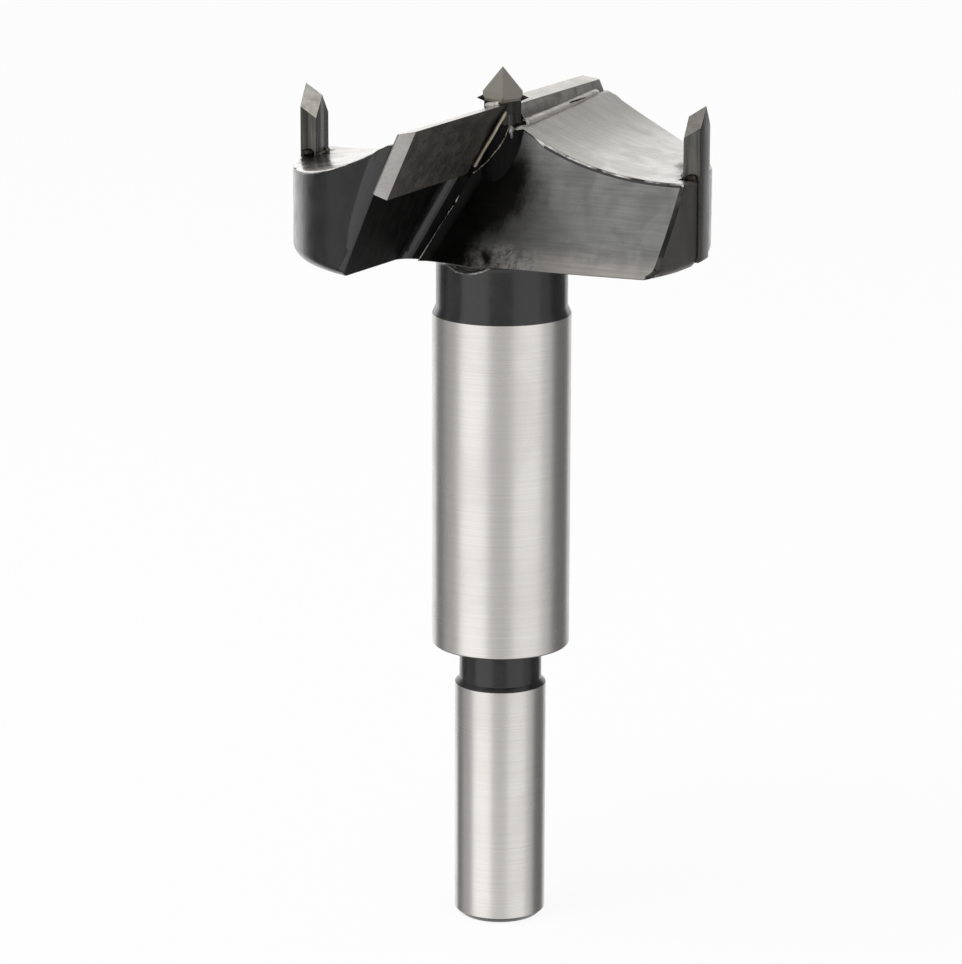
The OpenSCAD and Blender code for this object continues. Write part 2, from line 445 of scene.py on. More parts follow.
@dataclass(frozen=True)
class WallFinish(Finish):
    """Satin gullet wall, black towards the root from a painted reflection of the dark cutter, and paler along
    its lower edge from a painted highlight.

    Attributes:
        root: Colour of the painted reflection at the root, which the dark stain takes too.
        low: Colour of the painted highlight along the lower edge.
        grain: Colour of the lit grains between root and lower edge.
        root_slant: How the painted reflection at the root follows the wall's lean.
        root_rise: Heights between which the painted reflection at the root widens.
        root_edge: Where the painted reflection ends across the root, below and above that rise.
        root_fall: Heights between which the painted reflection narrows again towards the top.
        root_taper: How much it narrows there.
        root_fade: Width over which the painted reflection at the root fades.
        low_span: Heights between which the painted highlight along the lower edge fades.
        grain_span: Distances from the root between which the grains fade.
        grain_frequency: Grains per metre.
        grain_cut: Part of the grains' swing over which they light up.
        stain: Place of the dark stain, across the root and in height.
        stain_span: Distances from there between which the stain fades.
        stray_frequency: Swings per metre of the rough borders.
        stray_reach: Twice the furthest swing of the border of the painted reflection at the root.
        stray_stretch: Share of that frequency along each axis.
        low_stray: Share of the swing that the painted highlight along the lower edge has.
        stain_stray: Share of the swing that the stain has.
    """

    root: Colour = (0.020, 0.019, 0.018)
    low: Colour = (0.27, 0.26, 0.24)
    grain: Colour = (0.42, 0.41, 0.39)
    root_slant: float = 0.52
    root_rise: Span = (75.2 * MM, 81.5 * MM)
    root_edge: Span = (-1.2 * MM, 5.6 * MM)
    root_fall: Span = (83.5 * MM, 87.5 * MM)
    root_taper: float = 2.8 * MM
    root_fade: float = 4.2 * MM
    low_span: Span = (75.0 * MM, 77.2 * MM)
    grain_span: Span = (0.5 * MM, 5.0 * MM)
    grain_frequency: float = 1400.0
    grain_cut: Span = (-0.2, 0.12)
    stain: Span = (2.0 * MM, 75.2 * MM)
    stain_span: Span = (0.44 * MM, 1.32 * MM)
    stray_frequency: float = 520.0
    stray_reach: float = 6.0 * MM
    stray_stretch: Point = (1.0, 1.0, 0.35)
    low_stray: float = 0.4
    stain_stray: float = 0.35

    def shade(self, sheet: NodeSheet, place: Socket, colour: Socket) -> Socket:
        """Blends in the painted reflection at the dark root, the painted highlight on the grainy lower edge
        and one dark stain.

        Args:
            sheet: The material's tree.
            place: Object coordinates.
            colour: The plain colour of the wall.

        Returns:
            The blended colour.
        """
        x, y, level = sheet.axes(place)
        stray = wander(sheet, place, self.stray_frequency, self.stray_reach, self.stray_stretch)
        across = sheet.math("ADD", x, sheet.math("MULTIPLY", y, self.root_slant))
        inward = sheet.math("MULTIPLY", across, sheet.math("SIGN", y))
        depth = sheet.math("SUBTRACT", stray, inward)
        wide = sheet.remap(level, *self.root_rise, self.root_edge)
        edge = sheet.math("SUBTRACT", wide, sheet.remap(level, *self.root_fall, (0.0, self.root_taper)))
        # Mask of the painted reflection of the dark cutter towards the root
        dark = sheet.remap(sheet.math("SUBTRACT", depth, edge), -self.root_fade, 0.0, (1.0, 0.0))
        grains = wander(sheet, place, self.grain_frequency, 1.0)
        lit = sheet.remap(grains, *self.grain_cut, (0.0, 1.0))
        near = sheet.remap(depth, *self.grain_span, (1.0, 0.0))
        # Painted highlight along the lower edge, with lit grains near the root
        lower = sheet.mix(near, self.low, sheet.mix(lit, self.root, self.grain))
        height = sheet.math("ADD", level, sheet.math("MULTIPLY", stray, self.low_stray))
        pale = sheet.mix(sheet.remap(height, *self.low_span, (1.0, 0.0)), colour, lower)
        aside = sheet.math("POWER", sheet.math("SUBTRACT", inward, self.stain[0]), 2.0)
        above = sheet.math("POWER", sheet.math("SUBTRACT", level, self.stain[1]), 2.0)
        reach = sheet.math("SQRT", sheet.math("ADD", aside, above))
        away = sheet.math("ADD", reach, sheet.math("MULTIPLY", stray, self.stain_stray))
        stained = sheet.remap(away, *self.stain_span, (1.0, 0.0))
        return sheet.mix(sheet.math("MAXIMUM", dark, stained), pale, self.root)


@dataclass(frozen=True)
class TopFinish(Finish):
    """Brushed wing top, darker towards the cutter from painted shade, and scorched beside the spur.

    Attributes:
        dark: Colour of the painted shade beside the cutter.
        dark_span: Distances from the axis between which the painted shade fades.
        scorch: Colour beside the spur.
        scorch_place: Where the scorched strip starts on the front wing.
        scorch_run: Direction of the strip.
        scorch_half: Half width of the strip, where its sides start and end to fade.
        scorch_reach: Distances along the strip between which it fades.
        stray_frequency: Swings per metre of the strip's rough border.
        stray_reach: Twice the furthest swing of that border.
    """

    dark: Colour = (0.47, 0.455, 0.425)
    dark_span: Span = (3.0 * MM, 15.0 * MM)
    scorch: Colour = (0.10, 0.095, 0.085)
    scorch_place: Point = (-20.0 * MM, -4.9 * MM, 0.0)
    scorch_run: Point = (0.454, -0.891, 0.0)
    scorch_half: Span = (0.9 * MM, 2.1 * MM)
    scorch_reach: Span = (3.4 * MM, 7.0 * MM)
    stray_frequency: float = 520.0
    stray_reach: float = 3.0 * MM

    def shade(self, sheet: NodeSheet, place: Socket, colour: Socket) -> Socket:
        """Blends in the painted shade beside the cutter and the scorched strip.

        Args:
            sheet: The material's tree.
            place: Object coordinates.
            colour: The plain colour of the wing top.

        Returns:
            The blended colour.
        """
        x, y, _ = sheet.axes(place)
        # Painted shade beside the cutter, darkest near the axis
        share = sheet.remap(sheet.math("ABSOLUTE", x), *self.dark_span, (1.0, 0.0))
        plain = sheet.mix(share, colour, self.dark)
        facing = sheet.math("MULTIPLY", sheet.math("SIGN", y), -1.0)
        turned = sheet.vector("SCALE", place, facing)
        start, run = Vector(self.scorch_place), Vector(self.scorch_run)
        along = self.measure(sheet, turned, start, run)
        sideways = Vector((-run.y, run.x, 0.0))
        aside = sheet.math("ABSOLUTE", self.measure(sheet, turned, start, sideways))
        stray = wander(sheet, place, self.stray_frequency, self.stray_reach)
        inside = sheet.remap(sheet.math("ADD", aside, stray), *self.scorch_half, (1.0, 0.0))
        reached = sheet.remap(sheet.math("ADD", along, stray), *self.scorch_reach, (1.0, 0.0))
        return sheet.mix(sheet.math("MULTIPLY", inside, reached), plain, self.scorch)

    @staticmethod
    def measure(sheet: NodeSheet, place: Socket, start: Vector, run: Vector) -> Socket:
        """Measures how far a place lies from a start in one direction.

        Args:
            sheet: The material's tree.
            place: The place.
            start: Where the measure starts.
            run: Its direction, of length one.

        Returns:
            The distance.
        """
        return sheet.math("SUBTRACT", sheet.vector("DOT_PRODUCT", place, run), start.dot(run))


@dataclass(frozen=True)
class SpurFinish(Finish):
    """Dark inner side of a spur with one lighter upright streak, a painted highlight.

    Attributes:
        streak: Colour of the streak, a painted highlight.
        spur_angle: Angle of the spurs about the axis.
        streak_at: Place of the streak ahead of the spur's middle.
        streak_half: Half width of the streak, where its sides start and end to fade.
    """

    streak: Colour = (0.24, 0.235, 0.22)
    spur_angle: float = math.radians(187.5)
    streak_at: float = 0.1 * MM
    streak_half: Span = (0.2 * MM, 0.75 * MM)

    def shade(self, sheet: NodeSheet, place: Socket, colour: Socket) -> Socket:
        """Blends in the streak, a painted highlight.

        Args:
            sheet: The material's tree.
            place: Object coordinates.
            colour: The plain colour of the side.

        Returns:
            The blended colour.
        """
        forward = (-math.sin(self.spur_angle), math.cos(self.spur_angle), 0.0)
        x, _, _ = sheet.axes(place)
        facing = sheet.math("MULTIPLY", sheet.math("SIGN", x), -1.0)
        ahead = sheet.math("MULTIPLY", sheet.vector("DOT_PRODUCT", place, forward), facing)
        # Painted highlight: a lighter upright streak on the spur's inner side
        off = sheet.math("ABSOLUTE", sheet.math("SUBTRACT", ahead, self.streak_at))
        return sheet.mix(sheet.remap(off, *self.streak_half, (1.0, 0.0)), colour, self.streak)


GROUND_STEEL = Finish(
    "ground_steel", (0.60, 0.585, 0.56), (0.56, 0.545, 0.52),
    roughness=0.24, patch_roughness=0.28, patch_frequency=90.0,
    line_frequency=(40.0, 40.0, 9000.0), line_tone=0.04, line_height=0.002 * MM, anisotropy=0.6,
)
BLACK_LACQUER = Finish(
    "black_lacquer", (0.010, 0.010, 0.011), (0.016, 0.015, 0.014), metallic=0.0,
    roughness=0.18, patch_roughness=0.25, patch_frequency=350.0,
    line_frequency=(250.0, 250.0, 250.0), line_tone=0.1, line_height=0.02 * MM,
)
SATIN_WALL = WallFinish(
    "satin_wall", (0.185, 0.184, 0.18), (0.16, 0.16, 0.158),
    roughness=0.36, patch_roughness=0.44, patch_frequency=320.0,
    line_frequency=(160.0, 2600.0, 2600.0), line_tone=0.10, line_height=0.006 * MM,
)
WING_TOP = TopFinish(
    "wing_top", (0.70, 0.685, 0.65), (0.65, 0.63, 0.595),
    roughness=0.2, patch_roughness=0.28, patch_frequency=300.0,
    line_frequency=(150.0, 1500.0, 300.0), line_tone=0.09, line_height=0.006 * MM,
)
# Near-black lacquer that barely reflects: painted shade in the core, the pockets and beside the ridges
PAINTED_SHADE_CORE = Finish(
    "dark_core", (0.005, 0.005, 0.005), (0.008, 0.0075, 0.007), metallic=0.0,
    roughness=0.5, patch_roughness=0.6, patch_frequency=700.0,
    line_frequency=(900.0, 900.0, 90.0), line_tone=0.3, line_height=0.03 * MM, specular=0.06,
)
WORN_EDGE = Finish(
    "worn_edge", (0.03, 0.029, 0.028), (0.78, 0.76, 0.73),
    roughness=0.25, patch_roughness=0.22, patch_frequency=520.0,
    line_frequency=(500.0, 500.0, 500.0), line_tone=0.1, line_height=0.01 * MM,
)
WORN_RIDGE = Finish(
    "worn_ridge", (0.55, 0.535, 0.51), (0.42, 0.41, 0.39), metallic=0.2,
    roughness=0.3, patch_roughness=0.4, patch_frequency=420.0,
    line_frequency=(500.0, 500.0, 500.0), line_tone=0.1, line_height=0.005 * MM,
)
SCORCHED_RIM = Finish(
    "scorched_rim", (0.040, 0.036, 0.032), (0.055, 0.050, 0.044), metallic=0.0,
    roughness=0.34, patch_roughness=0.42, patch_frequency=260.0,
    line_frequency=(400.0, 400.0, 60.0), line_tone=0.2, line_height=0.006 * MM,
)
# Near-black band at a wing's corner: painted shade, with lighter patches of wear
WORN_SHADED_BAND = Finish(
    "worn_shaded_band", (0.008, 0.008, 0.0075), (0.06, 0.058, 0.055), metallic=0.7,
    roughness=0.34, patch_roughness=0.42, patch_frequency=330.0,
    line_frequency=(400.0, 400.0, 400.0), line_tone=0.3, line_height=0.006 * MM,
)
CARBIDE_GROUND = Finish(
    "carbide_ground", (0.44, 0.42, 0.39), (0.36, 0.34, 0.31),
    roughness=0.26, patch_roughness=0.34, patch_frequency=1300.0,
    line_frequency=(900.0, 900.0, 2500.0), line_tone=0.12, line_height=0.006 * MM,
)
CARBIDE_END = Finish(
    "carbide_end", (0.36, 0.35, 0.335), (0.33, 0.32, 0.305),
    roughness=0.26, patch_roughness=0.32, patch_frequency=500.0,
    line_frequency=(500.0, 500.0, 3000.0), line_tone=0.05, line_height=0.003 * MM,
)
CARBIDE_LAND = Finish(
    "carbide_land", (0.69, 0.67, 0.615), (0.63, 0.61, 0.555),
    roughness=0.24, patch_roughness=0.30, patch_frequency=400.0,
    line_frequency=(2200.0, 200.0, 2200.0), line_tone=0.05, line_height=0.003 * MM,
)
CARBIDE_RAKE = Finish(
    "carbide_rake", (0.050, 0.046, 0.041), (0.070, 0.064, 0.056), metallic=0.15,
    roughness=0.36, patch_roughness=0.46, patch_frequency=600.0,
    line_frequency=(1200.0, 300.0, 1200.0), line_tone=0.18, line_height=0.004 * MM,
)
CARBIDE_BACK = Finish(
    "carbide_back", (0.30, 0.29, 0.27), (0.17, 0.163, 0.15), metallic=0.5,
    roughness=0.30, patch_roughness=0.40, patch_frequency=500.0,
    line_frequency=(1500.0, 120.0, 1500.0), line_tone=0.2, line_height=0.006 * MM,
)
SPUR_SIDE = Finish(
    "spur_side", (0.047, 0.047, 0.043), (0.062, 0.060, 0.053),
    roughness=0.24, patch_roughness=0.30, patch_frequency=300.0,
    line_frequency=(1300.0, 1300.0, 50.0), line_tone=0.55, line_height=0.004 * MM,
)
SPUR_INNER = SpurFinish(
    "spur_inner", (0.026, 0.025, 0.023), (0.036, 0.034, 0.031),
    roughness=0.26, patch_roughness=0.32, patch_frequency=300.0,
    line_frequency=(900.0, 900.0, 60.0), line_tone=0.3, line_height=0.003 * MM,
)
POINT_CARBIDE = Finish(
    "point_carbide", (0.126, 0.117, 0.105), (0.108, 0.100, 0.090),
    roughness=0.34, patch_roughness=0.40, patch_frequency=500.0,
    line_frequency=(260.0, 260.0, 5200.0), line_tone=0.24, line_height=0.008 * MM,
)
# Black of the centre point's ears, which is painted shade; the burr behind the neck's lip takes it too
EAR_BLACK = Finish(
    "ear_black", (0.02, 0.019, 0.018), (0.035, 0.033, 0.03),
    roughness=0.35, patch_roughness=0.45, patch_frequency=900.0,
    line_frequency=(900.0, 900.0, 900.0), line_tone=0.3, line_height=0.01 * MM,
)
BRONZE_BRAZE = Finish(
    "bronze_braze", (0.27, 0.243, 0.195), (0.19, 0.168, 0.130),
    roughness=0.30, patch_roughness=0.42, patch_frequency=600.0,
    line_frequency=(500.0, 500.0, 500.0), line_tone=0.15, line_height=0.02 * MM,
)
BRAZE_THREAD = Finish(
    "braze_thread", (0.26, 0.235, 0.19), (0.07, 0.06, 0.045),
    roughness=0.30, patch_roughness=0.36, patch_frequency=1500.0,
    line_frequency=(900.0, 900.0, 900.0), line_tone=0.2, line_height=0.03 * MM,
)
BURNT_BRAZE = Finish(
    "burnt_braze", (0.018, 0.016, 0.014), (0.055, 0.047, 0.035),
    roughness=0.22, patch_roughness=0.36, patch_frequency=1600.0,
    line_frequency=(900.0, 900.0, 900.0), line_tone=0.3, line_height=0.04 * MM,
)
GREY_FLUX = Finish(
    "grey_flux", (0.27, 0.265, 0.26), (0.10, 0.098, 0.095), metallic=0.7,
    roughness=0.35, patch_roughness=0.5, patch_frequency=1800.0,
    line_frequency=(1200.0, 1200.0, 1200.0), line_tone=0.3, line_height=0.05 * MM,
)
SILVER_BRAZE = Finish(
    "silver_braze", (0.60, 0.58, 0.54), (0.44, 0.425, 0.395), metallic=0.4,
    roughness=0.24, patch_roughness=0.36, patch_frequency=420.0,
    line_frequency=(700.0, 150.0, 700.0), line_tone=0.1, line_height=0.02 * MM,
)


def millimetres(points: tuple[Point, ...]) -> list[Point]:
    """Turns points given in millimetres into metres."""
    return [(x * MM, y * MM, z * MM) for x, y, z in points]


def sized(blobs: tuple[Blob, ...]) -> list[Blob]:
    """Turns blobs given in millimetres into metres."""
    return [tuple(millimetres(blob)) for blob in blobs]


def dressed(piece: bpy.types.Object, finishes: tuple[Finish, ...], marks: Marks) -> None:
    """Adds finishes to a piece, each made once.

    Args:
        piece: The piece.
        finishes: Its finishes in the order of the material slots.
        marks: The shared groups of surface marks.
    """
    for finish in finishes:
        piece.data.materials.append(bpy.data.materials.get(finish.name) or finish.material(marks))


def merged_copy(node: str, merge: float) -> bmesh.types.BMesh:
    """Copies a solid's mesh, joins its loose triangles and makes its flat faces whole.

    Args:
        node: Name of the solid.
        merge: Distance under which corners become one.

    Returns:
        The joined mesh.
    """
    bm = bmesh.new()
    bm.from_mesh(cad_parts[node].data)
    bmesh.ops.remove_doubles(bm, verts=bm.verts, dist=merge)
    bmesh.ops.dissolve_degenerate(bm, dist=merge, edges=bm.edges)
    bmesh.ops.dissolve_limit(bm, angle_limit=FLAT, verts=bm.verts, edges=bm.edges)
    return bm


def sharp_edges(bm: bmesh.types.BMesh) -> list[bmesh.types.BMEdge]:
    """Finds the edges of a mesh that turn by more than the sharpness limit."""
    return [edge for edge in bm.edges if edge.is_manifold and edge.calc_face_angle(0.0) > SHARP]


def soften(
    bm: bmesh.types.BMesh, edges: list[bmesh.types.BMEdge], width: float, segments: int
) -> list[bmesh.types.BMFace]:
    """Rounds chosen edges of a mesh.

    Args:
        bm: The mesh to change.
        edges: The edges to round.
        width: Width of the rounding.
        segments: Steps of the rounding.

    Returns:
        The faces of the rounding.
    """
    rounded = bmesh.ops.bevel(
        bm, geom=edges, offset=width, offset_type="OFFSET", affect="EDGES", segments=segments,
        profile=0.5, material=-1, clamp_overlap=False, loop_slide=True,
    )
    bm.normal_update()
    return rounded["faces"]


def mesh_of(name: str, bm: bmesh.types.BMesh) -> bpy.types.Mesh:
    """Turns a mesh that was worked on into mesh data.

    Args:
        name: Name of the data.
        bm: The mesh, which is used up.

    Returns:
        The data.
    """
    mesh = bpy.data.meshes.new(name)
    bm.to_mesh(mesh)
    bm.free()
    return mesh


def placed(name: str, data: bpy.types.ID) -> bpy.types.Object:
    """Makes an object of some data and links it to the scene.

    Args:
        name: Name of the object.
        data: A mesh, a camera or a light.

    Returns:
        The object.
    """
    thing = bpy.data.objects.new(name, data)
    bpy.context.scene.collection.objects.link(thing)
    return thing


def finished(
    name: str, bm: bmesh.types.BMesh, nodes: tuple[str, ...] = (), smooth: bool = True
) -> bpy.types.Object:
    """Makes a mesh into a piece of the part.

    Args:
        name: Name of the piece.
        bm: Its mesh, which is used up.
        nodes: The solids that the piece stands for.
        smooth: Whether its faces are shaded round.

    Returns:
        The piece, riding on the part's body.
    """
    for face in bm.faces:
        face.smooth = smooth
    piece = placed(name, mesh_of(name, bm))
    if smooth:
        piece.modifiers.new("flat_faces", "WEIGHTED_NORMAL").weight = FACE_WEIGHT
    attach(piece, BODY)
    if nodes:
        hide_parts(*nodes)
    log.info("%s: %d faces", name, len(piece.data.polygons))
    return piece


@dataclass
class SteelBody:
    """The turned and milled steel body.

    Attributes:
        shank_r: Radius of the shank.
        shank_low: Where the shank's wall starts above its chamfer.
        shank_high: Where the shank's wall ends at the undercut.
        collar_r: Radius of the collar.
        collar_low: Where the collar's wall starts above its chamfer.
        collar_high: Where the collar's wall ends at the neck's cone.
        head_low: Height of the head's underside.
        rim_r: Radius outside which faces belong to the head's rim.
        core_r: Radius outside which level faces belong to the wing tops.
        inner_r: Radius inside which all faces have the core's finish, a painted shade.
        root_r: Radius inside which the strips beside the ridges have it too.
        clear_r: Radius outside which the wings' edges have a wide rounding.
        wall_lean: Lean of the gullet walls from the vertical.
        rake: Rake angle of the cutters' pockets.
        top_low: Lowest height of the wing tops.
        top_rise: Least upward share of a wing top's direction.
        rim_out: Least outward share of a rim face's direction.
        flank_low: Lowest height of the middle of a flank.
        flank_tip: Most upward share of a flank's direction, which points down.
        wall_true: How closely a face of a gullet wall follows its direction.
        pocket_true: How closely a face of a pocket follows its direction.
        turned_near: How far a face of shank or collar may lie from their radius.
        ridge: A point on the ridge between a cutter's pocket and the gullet's root.
        ridge_run: Direction in which the front ridge falls.
        ridge_true: How closely a ridge's edge follows that direction.
        ridge_near: How far the middle of such an edge may lie from the ridge.
        pocket_dark: Width of the strip of painted shade beside the ridge, inside the pocket.
        worn_rise: Least upward share of a worn face's direction.
        worn_turn: How far the worn faces follow the wall's direction, from least to most.
        band_turn: How far a face of the dark band at a wing's corner, painted shade with patches of wear,
            follows it at least.
        edge_round: Width of the rounding on most edges.
        ridge_round: Width of the worn rounding on the ridges.
        wing_round: Width of the rounding between wall, top and rim of a wing.
        flank_round: Width of the rounding between the rim and the flank below a cutter's end.
        corner: Angles of the rim between a gullet wall and a spur.
        merge: Distance under which corners become one.
    """

    shank_r: float = 5.0 * MM
    shank_low: float = 0.6 * MM
    shank_high: float = 26.6 * MM
    collar_r: float = 7.5 * MM
    collar_low: float = 31.25 * MM
    collar_high: float = 67.9 * MM
    head_low: float = 74.2 * MM
    rim_r: float = 20.5 * MM
    core_r: float = 3.4 * MM
    inner_r: float = 5.44 * MM
    root_r: float = 11.9 * MM
    clear_r: float = 3.7 * MM
    wall_lean: float = math.radians(28.4)
    rake: float = math.radians(24.6)
    top_low: float = 82.0 * MM
    top_rise: float = 0.8
    rim_out: float = 0.3
    flank_low: float = 76.0 * MM
    flank_tip: float = -0.1
    wall_true: float = 0.9995
    pocket_true: float = 0.97
    turned_near: float = 0.06 * MM
    ridge: Point = (-3.2 * MM, -4.5 * MM, 80.5 * MM)
    ridge_run: Point = (-0.423, -0.378, -0.824)
    ridge_true: float = 0.9
    ridge_near: float = 1.0 * MM
    pocket_dark: float = 1.05 * MM
    worn_rise: float = 0.6
    worn_turn: Span = (0.74, 0.93)
    band_turn: float = 0.4
    edge_round: float = 0.08 * MM
    ridge_round: float = 0.2 * MM
    wing_round: float = 0.42 * MM
    flank_round: float = 0.5 * MM
    corner: Span = (math.radians(-30.0), math.radians(4.0))
    merge: float = 0.02 * MM

    def build(self) -> bpy.types.Object:
        """Builds the body with rounded edges.

        Returns:
            The piece.
        """
        bm = merged_copy("body", self.merge)
        flank = [edge for edge in sharp_edges(bm) if self.on_flank(edge)]
        soften(bm, flank, self.flank_round, segments=4)
        wing = {Form.WALL, Form.TOP, Form.RIM}
        outer = [edge for edge in sharp_edges(bm) if self.is_out(edge)]
        wide = [edge for edge in outer if len(self.forms(edge) & wing) == 2]
        worn = [face for face in soften(bm, wide, self.wing_round, segments=5) if self.worn(face.normal)]
        ridges = [edge for edge in sharp_edges(bm) if self.on_ridge(edge)]
        bare = soften(bm, ridges, self.ridge_round, segments=2)
        for faces, zone in ((worn, Zone.EDGE), (bare, Zone.RIDGE)):
            for face in faces:
                if face.is_valid:
                    face.material_index = zone.value
        soften(bm, sharp_edges(bm), self.edge_round, segments=2)
        log.info("rounded edges: %d flank, %d wing, %d ridge", len(flank), len(wide), len(ridges))
        return finished("steel_body", bm, ("body",))

    def forms(self, edge: bmesh.types.BMEdge) -> set[Form]:
        """Finds the main faces of the head on both sides of an edge."""
        return {self.form(face.calc_center_median(), face.normal) for face in edge.link_faces}

    def is_out(self, edge: bmesh.types.BMEdge) -> bool:
        """Says whether an edge lies clear of the core."""
        return min(math.hypot(vert.co.x, vert.co.y) for vert in edge.verts) > self.clear_r

    def on_flank(self, edge: bmesh.types.BMEdge) -> bool:
        """Says whether an edge lies between the rim and a flank, above the rim's lower rounding."""
        low = min(vert.co.z for vert in edge.verts)
        return low > self.flank_low and self.forms(edge) == {Form.RIM, Form.FLANK}

    def wall_normal(self, side: Side) -> Vector:
        """Direction of the gullet wall that faces the given wing."""
        return side.turn() @ Vector((0.0, -math.cos(self.wall_lean), math.sin(self.wall_lean)))

    def walled(self, normal: Vector) -> float:
        """Measures how far a direction follows that of the nearer gullet wall."""
        return max(self.wall_normal(side).dot(normal) for side in Side)

    def worn(self, normal: Vector) -> bool:
        """Says whether a face lies midway round the edge between a wall and a wing top."""
        least, most = self.worn_turn
        return normal.z > self.worn_rise and least < self.walled(normal) < most

    def past_ridge(self, place: Vector) -> Vector:
        """Finds how far a place lies from the ridge on its side, level with it.

        Args:
            place: The place.

        Returns:
            The offset from the ridge, turned to the front side.
        """
        side = Side.FRONT if place.y < 0.0 else Side.REAR
        turned = side.turn() @ place
        start, run = Vector(self.ridge), Vector(self.ridge_run)
        return turned - (start + run * ((turned.z - start.z) / run.z))

    def on_ridge(self, edge: bmesh.types.BMEdge) -> bool:
        """Says whether an edge is part of a ridge between a pocket and the gullet's root.

        Args:
            edge: The edge.

        Returns:
            Whether it stands out, runs down with the ridge and lies on it.
        """
        first, second = (vert.co for vert in edge.verts)
        middle = (first + second) / 2.0
        side = Side.FRONT if middle.y < 0.0 else Side.REAR
        apart = edge.calc_face_angle_signed(0.0) > SHARP
        run = side.turn() @ Vector(self.ridge_run)
        upright = abs((second - first).normalized().dot(run)) > self.ridge_true
        return apart and upright and self.past_ridge(middle).length < self.ridge_near

    def form(self, centre: Vector, normal: Vector) -> Form:
        """Finds the main face of the head that a face belongs to.

        Args:
            centre: Middle of the face.
            normal: Its direction.

        Returns:
            The main face, or other.
        """
        radius = math.hypot(centre.x, centre.y)
        if centre.z < self.head_low:
            return Form.OTHER
        if self.walled(normal) > self.wall_true:
            return Form.WALL
        if centre.z > self.top_low and normal.z > self.top_rise and radius > self.core_r:
            return Form.TOP
        if radius > self.rim_r and normal.x * centre.x + normal.y * centre.y > self.rim_out * radius:
            hangs = centre.z > self.flank_low and normal.z < self.flank_tip
            return Form.FLANK if hangs else Form.RIM
        return Form.OTHER

    def zone(self, centre: Vector, normal: Vector) -> Zone:
        """Finds the finish of one face.

        Args:
            centre: Middle of the face.
            normal: Its direction.

        Returns:
            The zone that the face belongs to.
        """
        radius = math.hypot(centre.x, centre.y)
        turned = (
            (self.shank_low, self.shank_high, self.shank_r),
            (self.collar_low, self.collar_high, self.collar_r),
        )
        if any(low < centre.z < high and abs(radius - r) < self.turned_near for low, high, r in turned):
            return Zone.GROUND
        form = self.form(centre, normal)
        if form is Form.WALL:
            return Zone.WALL
        if form is Form.TOP:
            return Zone.TOP
        if radius > self.rim_r and self.at_corner(centre):
            # Faces along the wall there get the band of painted shade and wear
            return Zone.SHADED_BAND if self.walled(normal) > self.band_turn else Zone.CORNER
        # The core, the pockets and the strips beside the ridges get painted shade
        past = self.past_ridge(centre)
        by_root = -self.pocket_dark < past.x < self.core_r and radius < self.root_r
        rake = Vector((math.cos(self.rake), 0.0, -math.sin(self.rake)))
        in_pocket = max((side.turn() @ rake).dot(normal) for side in Side) > self.pocket_true
        inside = radius < self.inner_r or by_root or in_pocket
        return Zone.CORE if centre.z > self.head_low and inside else Zone.BLACK

    def at_corner(self, place: Vector) -> bool:
        """Says whether a place on the rim lies between a gullet wall and a spur."""
        low, high = self.corner
        return place.z > self.head_low and low < math.atan(place.y / place.x) < high

    def dress(self, piece: bpy.types.Object, marks: Marks) -> None:
        """Gives each zone of the body its finish.

        Args:
            piece: The body.
            marks: The shared groups of surface marks.
        """
        turned = (BLACK_LACQUER, GROUND_STEEL)
        head = (SATIN_WALL, WING_TOP, PAINTED_SHADE_CORE, WORN_EDGE, WORN_RIDGE, SCORCHED_RIM, WORN_SHADED_BAND)
        dressed(piece, turned + head, marks)
        kept = {Zone.EDGE.value, Zone.RIDGE.value}
        for face in piece.data.polygons:
            if face.material_index not in kept:
                face.material_index = self.zone(face.center, face.normal).value


